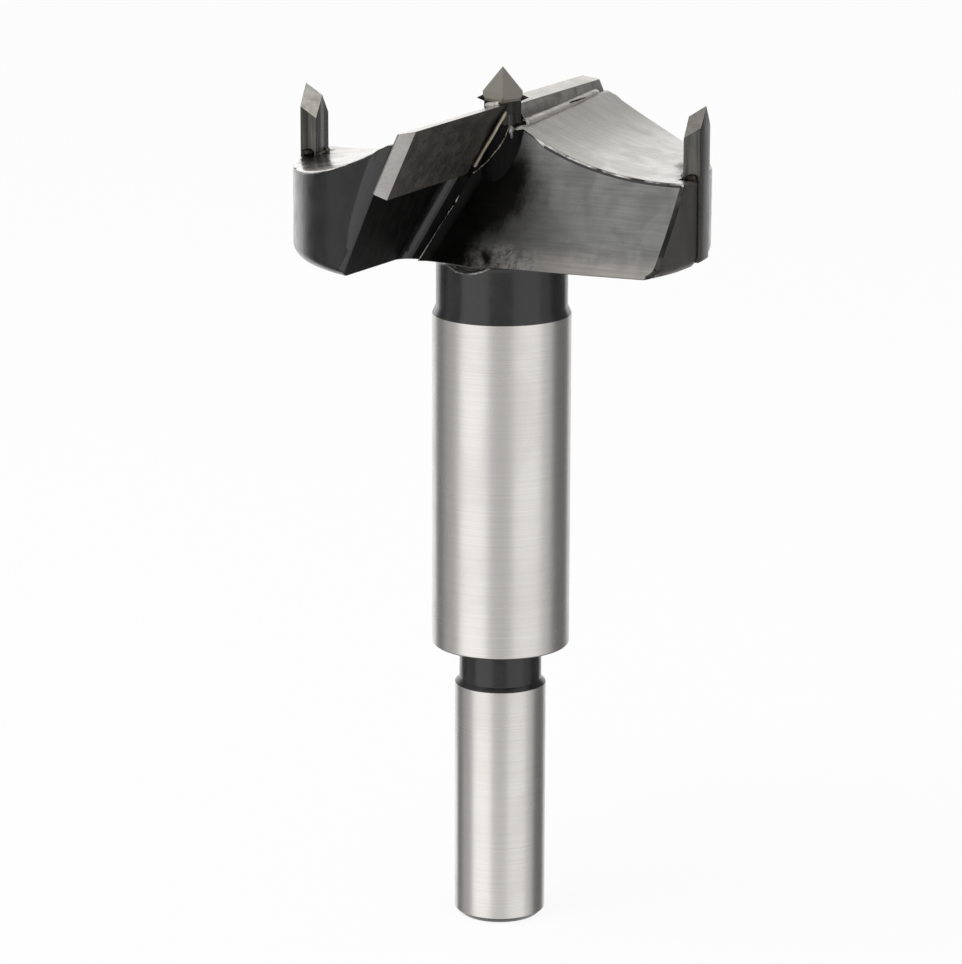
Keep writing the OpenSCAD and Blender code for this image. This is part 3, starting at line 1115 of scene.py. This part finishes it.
@dataclass
class Carbide:
    """The brazed carbide pieces.

    Attributes:
        edge_round: Width of the rounding on the ground edges.
        merge: Distance under which corners become one.
        rake: Rake angle of the cutters.
        face_true: How closely a cutter's rake face and back follow their direction.
        land_rise: Least upward share of the direction of a cutter's land.
        bevel_rise: Least upward share of the direction of a spur's bevels.
        inner_true: How closely a spur's inner side points at the axis.
        bar_top: Height at which the centre point's dark bar ends.
        ear_turn: Direction of the two ears, painted black as shade.
        ear_r: Distance from the axis outside which faces belong to those ears.
        ear_top: Highest height of the ears.
    """

    edge_round: float = 0.04 * MM
    merge: float = 0.01 * MM
    rake: float = math.radians(24.6)
    face_true: float = 0.99
    land_rise: float = 0.8
    bevel_rise: float = 0.45
    inner_true: float = 0.9
    bar_top: float = 90.85 * MM
    ear_turn: float = math.radians(27.0)
    ear_r: float = 1.95 * MM
    ear_top: float = 91.6 * MM

    def build(self, node: str, slot: str, rounded: bool = True) -> bpy.types.Object:
        """Builds one carbide piece.

        Args:
            node: Name of the solid.
            slot: The record's material slot, which is not used.
            rounded: Whether its edges are slightly rounded, or left keen.

        Returns:
            The piece.
        """
        bm = merged_copy(node, self.merge)
        if rounded:
            soften(bm, sharp_edges(bm), self.edge_round, segments=2)
        return finished(node + "_carbide", bm, (node,), smooth=rounded)

    def dress_cutter(self, piece: bpy.types.Object, side: Side, marks: Marks) -> None:
        """Gives a cutter its dark rake face and ground ends.

        Args:
            piece: The cutter.
            side: The wing that it sits on.
            marks: The shared groups of surface marks.
        """
        rake = side.turn() @ Vector((math.cos(self.rake), 0.0, -math.sin(self.rake)))
        dressed(piece, (CARBIDE_BACK, CARBIDE_END, CARBIDE_RAKE, CARBIDE_LAND), marks)
        for face in piece.data.polygons:
            along = face.normal.dot(rake)
            shown = Face.LAND if face.normal.z > self.land_rise else Face.GROUND
            shown = Face.RAKE if along > self.face_true else shown
            face.material_index = (Face.SINTERED if along < -self.face_true else shown).value

    def dress_spur(self, piece: bpy.types.Object, marks: Marks) -> None:
        """Gives a spur its ground bevels and darker sides.

        Args:
            piece: The spur.
            marks: The shared groups of surface marks.
        """
        dressed(piece, (SPUR_SIDE, CARBIDE_GROUND, SPUR_INNER), marks)
        for face in piece.data.polygons:
            outward = face.normal.x * face.center.x + face.normal.y * face.center.y
            inner = outward < -self.inner_true * abs(face.center.x)
            shown = Face.RAKE if inner else Face.SINTERED
            face.material_index = (Face.GROUND if face.normal.z > self.bevel_rise else shown).value

    def dress_point(self, piece: bpy.types.Object, marks: Marks) -> None:
        """Gives the centre point its ground pyramid, ears painted black as shade, and dark bar.

        Args:
            piece: The centre point.
            marks: The shared groups of surface marks.
        """
        dressed(piece, (SPUR_SIDE, POINT_CARBIDE, EAR_BLACK), marks)
        for face in piece.data.polygons:
            # The ears are painted black as shade
            aside = face.center.x * math.cos(self.ear_turn) + face.center.y * math.sin(self.ear_turn)
            out = abs(aside) > self.ear_r and face.center.z < self.ear_top
            shown = Face.GROUND if face.center.z > self.bar_top else Face.SINTERED
            face.material_index = (Face.RAKE if out else shown).value


def settled(
    name: str, bm: bmesh.types.BMesh, side: Side, smoothing: float
) -> bpy.types.Object:
    """Smooths braze that is modelled on the front wing and makes it into a piece of one wing.

    Args:
        name: Name of the braze.
        bm: Its mesh, which is used up.
        side: The wing that it sits on.
        smoothing: Strength of the smoothing.

    Returns:
        The piece.
    """
    bmesh.ops.smooth_vert(
        bm, verts=bm.verts, factor=smoothing, use_axis_x=True, use_axis_y=True, use_axis_z=True
    )
    bmesh.ops.recalc_face_normals(bm, faces=bm.faces)
    bmesh.ops.rotate(bm, verts=bm.verts, cent=(0.0, 0.0, 0.0), matrix=side.turn().to_3x3())
    return finished(f"{name}_{side.name.lower()}", bm)


@dataclass
class BrazeBead:
    """A lumpy bead of braze along a seam.

    Attributes:
        name: Name of the bead.
        path: The points that it follows, on the front wing.
        radius: Mean radius of the bead.
        stations: Rings along the bead.
        wander: How far rings shift and swell, as a share of the radius.
        seed: Seed of the lumps.
        finish: Finish of the braze.
        slot: The record's material slot, which is not used.
        sides: Sides of a ring.
        tip: Size of the two end rings, as a share of the radius.
        sway: Share of the wander by which rings shift.
        smoothing: Strength of the smoothing.
    """

    name: str
    path: list[Point]
    radius: float
    stations: int
    wander: float
    seed: int
    finish: Finish
    slot: str = "cutter_carbide"
    sides: int = 10
    tip: float = 0.4
    sway: float = 0.5
    smoothing: float = 0.4

    def place(self, share: float) -> Vector:
        """Finds a place along the path.

        Args:
            share: Share of the path's points that lie before the place.

        Returns:
            The place.
        """
        reach = share * (len(self.path) - 1)
        leg = min(int(reach), len(self.path) - 2)
        return Vector(self.path[leg]).lerp(Vector(self.path[leg + 1]), reach - leg)

    def build(self, side: Side, marks: Marks) -> bpy.types.Object:
        """Builds the bead on one wing and dresses it.

        Args:
            side: The wing that it sits on.
            marks: The shared groups of surface marks.

        Returns:
            The piece.
        """
        dice = random.Random(self.seed)
        run = Vector(self.path[-1]) - Vector(self.path[0])
        turn = run.to_track_quat("Z", "Y").to_matrix().to_4x4()
        bm = bmesh.new()
        bmesh.ops.create_circle(
            bm, cap_ends=True, segments=self.sides, radius=self.radius * self.tip,
            matrix=Matrix.Translation(self.place(0.0)) @ turn,
        )
        face = next(iter(bm.faces))
        for count in range(1, self.stations):
            grown = bmesh.ops.extrude_face_region(bm, geom=[face])["geom"]
            bmesh.ops.delete(bm, geom=[face], context="FACES_ONLY")
            ring = [item for item in grown if isinstance(item, bmesh.types.BMVert)]
            face = next(item for item in grown if isinstance(item, bmesh.types.BMFace))
            at_end = count == self.stations - 1
            swell = self.tip if at_end else dice.uniform(1.0 - self.wander, 1.0 + self.wander)
            size = self.radius * swell
            middle = self.place(count / (self.stations - 1))
            reach = self.wander * self.radius * self.sway
            shift = Vector([dice.uniform(-1.0, 1.0) * reach for _ in range(3)])
            centre = sum((vert.co for vert in ring), Vector()) / len(ring)
            for vert in ring:
                vert.co = middle + shift + (vert.co - centre).normalized() * size
        piece = settled(self.name, bm, side, self.smoothing)
        dressed(piece, (self.finish,), marks)
        return piece


@dataclass
class BrazeLumps:
    """Blobs of braze or flux.

    Attributes:
        name: Name of the blobs.
        blobs: Middle and three radii of each blob, on the front wing.
        seed: Seed of their unevenness.
        finish: Their finish.
        slot: The record's material slot, which is not used.
        fineness: Steps by which a blob's faces are split.
        swell: Least and greatest unevenness.
        smoothing: Strength of the smoothing.
    """

    name: str
    blobs: list[Blob]
    seed: int
    finish: Finish
    slot: str
    fineness: int = 2
    swell: Span = (0.75, 1.2)
    smoothing: float = 0.35

    def build(self, side: Side, marks: Marks) -> bpy.types.Object:
        """Builds the blobs of one wing and dresses them.

        Args:
            side: The wing that they sit on.
            marks: The shared groups of surface marks.

        Returns:
            The piece.
        """
        dice = random.Random(self.seed)
        bm = bmesh.new()
        for middle, radii in self.blobs:
            place = Matrix.Translation(middle) @ Matrix.Diagonal((*radii, 1.0))
            ball = bmesh.ops.create_icosphere(bm, subdivisions=self.fineness, radius=1.0, matrix=place)
            for vert in ball["verts"]:
                vert.co = Vector(middle) + (vert.co - Vector(middle)) * dice.uniform(*self.swell)
        piece = settled(self.name, bm, side, self.smoothing)
        dressed(piece, (self.finish,), marks)
        return piece


@dataclass
class Brazing:
    """The braze that shows round the cutters and spurs.

    Attributes:
        spur_r: Radius of the spurs' outer faces.
        spur_t: Thickness of a spur.
        spur_lead: Width of a spur ahead of its tip.
        spur_trail: Width of a spur behind its tip.
        spur_angle: Angle of the spurs.
        spur_foot_z: Height of the wing top at the spurs.
        seam: Points along the inner end of the cutter, in millimetres.
        thread: Points along the rim of the braze below the seam, in millimetres.
        back: Points along the foot of the cutter's back, in millimetres.
        post: Points across the front of the centre point's foot, in millimetres.
        lip: Points along the lip that hangs from the head onto the neck, in millimetres.
        burr: Middle and radii of the filling behind the lip, in millimetres.
        flux: Middles and radii of the drops of flux beside the centre point, in millimetres.
        pit: Middle and radii of a dark blob that stands for the painted shade in the pit of the bead behind
            the cutter, in millimetres.
    """

    spur_r: float = 22.5 * MM
    spur_t: float = 1.9 * MM
    spur_lead: float = 1.9 * MM
    spur_trail: float = 1.7 * MM
    spur_angle: float = math.radians(187.5)
    spur_foot_z: float = 83.95 * MM
    seam: tuple[Point, ...] = (
        (1.1, -1.3, 89.9), (0.72, -1.9, 88.9), (0.5, -2.41, 88.19), (0.12, -2.6, 87.41),
        (-0.82, -2.85, 85.78), (-1.5, -3.35, 84.31), (-1.62, -3.45, 84.0),
    )
    thread: tuple[Point, ...] = (
        (1.7, -1.95, 88.3), (1.4, -2.15, 87.3), (1.15, -2.28, 86.8), (0.75, -2.46, 86.1), (0.2, -2.54, 85.45),
        (-0.35, -2.54, 84.75), (-1.0, -2.5, 84.2), (-1.6, -2.65, 83.6), (-2.0, -3.1, 83.3),
    )
    back: tuple[Point, ...] = (
        (-1.72, -1.75, 88.25), (-1.76, -2.8, 88.3), (-1.71, -8.0, 88.47), (-1.62, -12.5, 88.65),
        (-1.52, -16.5, 88.87), (-1.44, -20.2, 89.05),
    )
    post: tuple[Point, ...] = (
        (-1.5, -1.0, 90.3), (-0.75, -1.2, 90.42), (-0.1, -1.42, 90.55), (0.4, -1.6, 90.68),
    )
    lip: tuple[Point, ...] = (
        (-3.8, -5.98, 74.2), (-2.95, -6.47, 73.75), (-1.94, -6.83, 73.37), (-0.9, -7.04, 73.25),
        (-0.08, -7.10, 73.27), (1.2, -7.02, 73.62), (1.78, -7.06, 73.9), (2.25, -7.0, 74.1),
    )
    burr: tuple[Blob, ...] = (((-0.3, -6.88, 73.95), (1.9, 0.45, 0.6)),)
    flux: tuple[Blob, ...] = (
        ((1.75, -1.6, 88.0), (0.42, 0.38, 0.55)), ((1.95, -1.75, 87.4), (0.22, 0.22, 0.4)),
    )
    pit: tuple[Blob, ...] = (((-1.92, -14.3, 89.04), (0.13, 2.3, 0.12)),)

    def on_spur(self, out: float, lead: float, height: float) -> Point:
        """Places a point given in the left spur's frame.

        Args:
            out: Distance outwards from the spur's outer face.
            lead: Distance towards its leading side.
            height: Height above the floor.

        Returns:
            The point in the part's frame.
        """
        cos, sin = math.cos(self.spur_angle), math.sin(self.spur_angle)
        r = self.spur_r + out
        return (r * cos - lead * sin, r * sin + lead * cos, height)

    def beads(self) -> tuple[BrazeBead, ...]:
        """Lists the beads of one wing.

        Returns:
            The beads, on the front wing.
        """
        inside = -self.spur_t - 0.05 * MM
        spur = [self.on_spur(inside, lead, self.spur_foot_z) for lead in (-self.spur_trail, self.spur_lead)]
        return (
            BrazeBead("inner_seam", millimetres(self.seam), 0.3 * MM, 25, 0.06, 11, BRONZE_BRAZE),
            BrazeBead("seam_thread", millimetres(self.thread), 0.11 * MM, 60, 0.45, 23, BRAZE_THREAD),
            BrazeBead("back_bead", millimetres(self.back), 0.5 * MM, 46, 0.08, 37, SILVER_BRAZE),
            BrazeBead(
                "post_bead", millimetres(self.post), 0.32 * MM, 14, 0.1, 59, SILVER_BRAZE, "point_carbide"
            ),
            BrazeBead("neck_lip", millimetres(self.lip), 0.19 * MM, 26, 0.3, 71, GREY_FLUX, "body_steel"),
            BrazeBead("spur_bead", spur, 0.24 * MM, 12, 0.3, 41, BURNT_BRAZE, "spur_carbide"),
        )

    def lumps(self) -> tuple[BrazeLumps, ...]:
        """Lists the blobs of one wing.

        Returns:
            The blobs, on the front wing.
        """
        ball = self.on_spur(-0.95 * MM, self.spur_lead + 0.1 * MM, self.spur_foot_z + 0.2 * MM)
        trail = self.on_spur(-1.0 * MM, -self.spur_trail - 0.15 * MM, self.spur_foot_z + 0.1 * MM)
        beside = self.on_spur(-self.spur_t - 0.2 * MM, -0.9 * MM, self.spur_foot_z + 0.2 * MM)
        flat, small = millimetres(((0.78, 0.42, 0.52), (0.3, 0.4, 0.3)))
        return (
            BrazeLumps("spur_blob", [(ball, flat), (trail, flat)], 51, BURNT_BRAZE, "spur_carbide"),
            BrazeLumps("spur_flux", [(beside, small)], 53, GREY_FLUX, "spur_carbide"),
            BrazeLumps("post_flux", sized(self.flux), 57, GREY_FLUX, "point_carbide"),
            BrazeLumps("neck_burr", sized(self.burr), 61, EAR_BLACK, "body_steel"),
            # A dark blob painted as the shade in a pit of the bead
            BrazeLumps("back_pit_shade", sized(self.pit), 67, BURNT_BRAZE, "cutter_carbide"),
        )


@dataclass
class Card:
    """A curved studio card round the part, seen only in reflections.

    Attributes:
        name: Name of the card.
        azimuths: Where it starts and ends, in degrees to the right of the camera.
        heights: Its lower and upper edge.
        shade: Brightness of the card.
        fade: Angle in degrees over which its sides turn clear.
    """

    name: str
    azimuths: Span
    heights: Span
    shade: float
    fade: float = 6.0

    def build(self, radius: float, camera_azimuth: float) -> bpy.types.Object:
        """Builds the card as a spun strip.

        Args:
            radius: Distance of the card from the axis.
            camera_azimuth: Direction of the camera, in degrees.

        Returns:
            The card.
        """
        first, last = (math.radians(camera_azimuth + turn + ZERO_AZIMUTH) for turn in self.azimuths)
        x, y = radius * math.cos(first), radius * math.sin(first)
        bm = bmesh.new()
        low, high = (bm.verts.new((x, y, height)) for height in self.heights)
        edge = bm.edges.new((low, high))
        bmesh.ops.spin(
            bm, geom=[low, high, edge], cent=(0.0, 0.0, 0.0), axis=(0.0, 0.0, 1.0),
            angle=last - first, steps=24,
        )
        card = placed(self.name, mesh_of(self.name, bm))
        card.data.materials.append(self.material(radius, (first + last) / 2.0))
        card.visible_camera = False
        card.visible_diffuse = False
        card.visible_shadow = False
        card.visible_transmission = False
        return card

    def material(self, radius: float, middle: float) -> bpy.types.Material:
        """Builds the card's glow, clear towards its two sides.

        Args:
            radius: Distance of the card from the axis.
            middle: Direction of its middle, in radians.

        Returns:
            The material.
        """
        material = bpy.data.materials.new(self.name)
        material.use_nodes = True
        sheet = NodeSheet(material.node_tree)
        sheet.tree.nodes.remove(sheet.tree.nodes["Principled BSDF"])
        glow = sheet.add("ShaderNodeEmission")
        glow.inputs["Strength"].default_value = self.shade
        clear = sheet.add("ShaderNodeBsdfTransparent")
        place = sheet.add("ShaderNodeTexCoord").outputs["Object"]
        towards = (math.cos(middle) / radius, math.sin(middle) / radius, 0.0)
        across = sheet.vector("DOT_PRODUCT", place, towards)
        half = math.radians(self.azimuths[1] - self.azimuths[0]) / 2.0
        inside = max(half - math.radians(self.fade), 0.0)
        share = sheet.remap(across, math.cos(half), math.cos(inside), (0.0, 1.0))
        sheet.surface(share, clear.outputs[0], glow.outputs[0], "Material Output")
        return material


@dataclass
class Studio:
    """Floor, world, lamps, cards and camera.

    Attributes:
        azimuth: Direction of the camera round the axis, in degrees.
        elevation: Height of the camera, in degrees.
        distance: Distance of the camera from its target.
        target: Height of the camera's target on the axis.
        yaw: Turn of the camera off its target, in degrees.
        roll: Roll of the camera, in degrees.
        focal_px: Focal length in pixels of the picture.
        picture_px: Longer side of the picture in pixels.
        sensor: Sensor size in millimetres.
        clip: Nearest and furthest distance that the camera sees.
        floor_r: Radius of the floor.
        floor_colour: Colour of the floor.
        floor_roughness: Roughness of the floor.
        floor_glow: Share of plain white in the floor that the camera sees.
        sky: Strength of the world's light on the part.
        lamp_size: Width of the soft lamp.
        lamp_power: Power of the lamp, in watts.
        lamp_place: Where the lamp hangs.
        card_r: Distance of the cards from the axis.
        card_heights: Lower and upper edge of the tall cards.
    """

    azimuth: float = 27.0
    elevation: float = 14.225
    distance: float = 442.162 * MM
    target: float = 49.05 * MM
    yaw: float = -0.292
    roll: float = 0.168
    focal_px: float = 4074.258
    picture_px: float = 964.0
    sensor: float = 36.0
    clip: Span = (10.0 * MM, 20.0)
    floor_r: float = 3.0
    floor_colour: Colour = (0.85, 0.85, 0.85)
    floor_roughness: float = 0.9
    floor_glow: float = 0.92
    sky: float = 0.6
    lamp_size: float = 0.8
    lamp_power: float = 6.0
    lamp_place: Point = (-0.3, -0.4, 1.0)
    card_r: float = 0.8
    card_heights: Span = (-0.7, 0.9)

    def build_camera(self) -> bpy.types.Object:
        """Builds the camera at the photograph's angle.

        Returns:
            The camera.
        """
        e, a = math.radians(self.elevation), math.radians(self.yaw)
        turn = Matrix.Rotation(math.radians(self.azimuth), 3, "Z")
        place = Vector((0.0, -self.distance * math.cos(e), self.distance * math.sin(e) + self.target))
        forward = Vector((math.sin(a) * math.cos(e), math.cos(a) * math.cos(e), -math.sin(e)))
        right = forward.cross(Vector((0.0, 0.0, 1.0))).normalized()
        up = right.cross(forward)
        axes = Matrix((right, up, -forward)).transposed() @ Matrix.Rotation(math.radians(self.roll), 3, "Z")
        data = bpy.data.cameras.new("camera")
        data.sensor_width = self.sensor
        data.lens = self.focal_px * self.sensor / self.picture_px
        data.clip_start, data.clip_end = self.clip
        camera = placed("camera", data)
        camera.matrix_world = Matrix.Translation(turn @ place) @ (turn @ axes).to_4x4()
        bpy.context.scene.camera = camera
        return camera

    @staticmethod
    def seen(sheet: NodeSheet) -> Socket:
        """Marks the rays that see the background: camera, glossy and transmission rays.

        Args:
            sheet: The tree that needs the mark.

        Returns:
            One for such rays, and zero for others.
        """
        path = sheet.add("ShaderNodeLightPath")
        direct = sheet.math("MAXIMUM", path.outputs["Is Camera Ray"], path.outputs["Is Glossy Ray"])
        return sheet.math("MAXIMUM", direct, path.outputs["Is Transmission Ray"])

    def build_floor(self) -> bpy.types.Object:
        """Builds the pale round floor, which keeps the part's shadow.

        Returns:
            The floor.
        """
        bm = bmesh.new()
        bmesh.ops.create_circle(bm, cap_ends=True, segments=96, radius=self.floor_r)
        floor = placed("floor", mesh_of("floor", bm))
        material = bpy.data.materials.new("floor")
        material.use_nodes = True
        sheet = NodeSheet(material.node_tree)
        shader = sheet.tree.nodes["Principled BSDF"]
        shader.inputs["Base Color"].default_value = opaque(self.floor_colour)
        shader.inputs["Roughness"].default_value = self.floor_roughness
        shader.inputs["Specular IOR Level"].default_value = 0.0
        glow = sheet.add("ShaderNodeEmission")
        share = sheet.math("MULTIPLY", self.seen(sheet), self.floor_glow)
        sheet.surface(share, shader.outputs[0], glow.outputs[0], "Material Output")
        floor.data.materials.append(material)
        floor.visible_glossy = False
        return floor

    def build_world(self) -> None:
        """Builds the world: white where it is seen, and a soft grey light on the part."""
        world = bpy.data.worlds.new("studio")
        bpy.context.scene.world = world
        world.use_nodes = True
        sheet = NodeSheet(world.node_tree)
        soft = sheet.tree.nodes["Background"]
        white = sheet.add("ShaderNodeBackground")
        for background, strength in ((soft, self.sky), (white, 1.0)):
            background.inputs["Color"].default_value = WHITE
            background.inputs["Strength"].default_value = strength
        sheet.surface(self.seen(sheet), soft.outputs[0], white.outputs[0], "World Output")

    def build_lamps(self) -> None:
        """Builds the soft lamp above the part."""
        data = bpy.data.lights.new("top_softbox", "AREA")
        data.shape = "DISK"
        data.size = self.lamp_size
        data.energy = self.lamp_power
        lamp = placed("top_softbox", data)
        lamp.location = self.lamp_place
        lamp.rotation_euler = Vector(self.lamp_place).to_track_quat("Z", "Y").to_euler()
        lamp.visible_glossy = False

    def build_cards(self) -> None:
        """Builds the cards that shape the reflections."""
        tall = self.card_heights
        cards = (
            Card("card_front", (-25.0, 22.0), (-0.27, 0.15), 0.70),
            Card("card_left_bright", (-75.0, -19.0), tall, 1.5),
            Card("card_right_bright", (16.0, 72.0), tall, 1.25),
            Card("card_left_rim", (-178.0, -136.0), tall, 1.35),
            Card("card_left_half", (-112.0, -72.0), tall, 0.55),
            Card("card_left_dark", (-141.0, -104.0), tall, 0.2, 10.0),
            Card("card_right_half", (66.0, 98.0), tall, 0.75),
            Card("card_right_dark", (88.0, 148.0), tall, 0.2, 10.0),
            Card("card_back_high", (110.0, 250.0), (0.47, 1.3), 0.55, 20.0),
        )
        for card in cards:
            card.build(self.card_r, self.azimuth)


def main() -> None:
    """Builds the part's pieces in order and the studio round them."""
    logging.basicConfig(level=logging.INFO, format="%(message)s")
    bpy.context.scene.view_settings.view_transform = "Standard"
    marks = Marks()
    studio = Studio()
    studio.build_camera()
    studio.build_world()
    studio.build_floor()
    studio.build_lamps()
    studio.build_cards()
    steel = SteelBody()
    steel.dress(steel.build(), marks)
    carbide = Carbide()
    for side in Side:
        carbide.dress_cutter(carbide.build(f"cutter_{side.name.lower()}", "cutter_carbide"), side, marks)
    for node in ("spur_left", "spur_right"):
        carbide.dress_spur(carbide.build(node, "spur_carbide"), marks)
    carbide.dress_point(carbide.build("centre_point", "point_carbide", rounded=False), marks)
    brazing = Brazing()
    for braze in brazing.beads() + brazing.lumps():
        for side in Side:
            braze.build(side, marks)


if __name__ == "__main__":
    main()
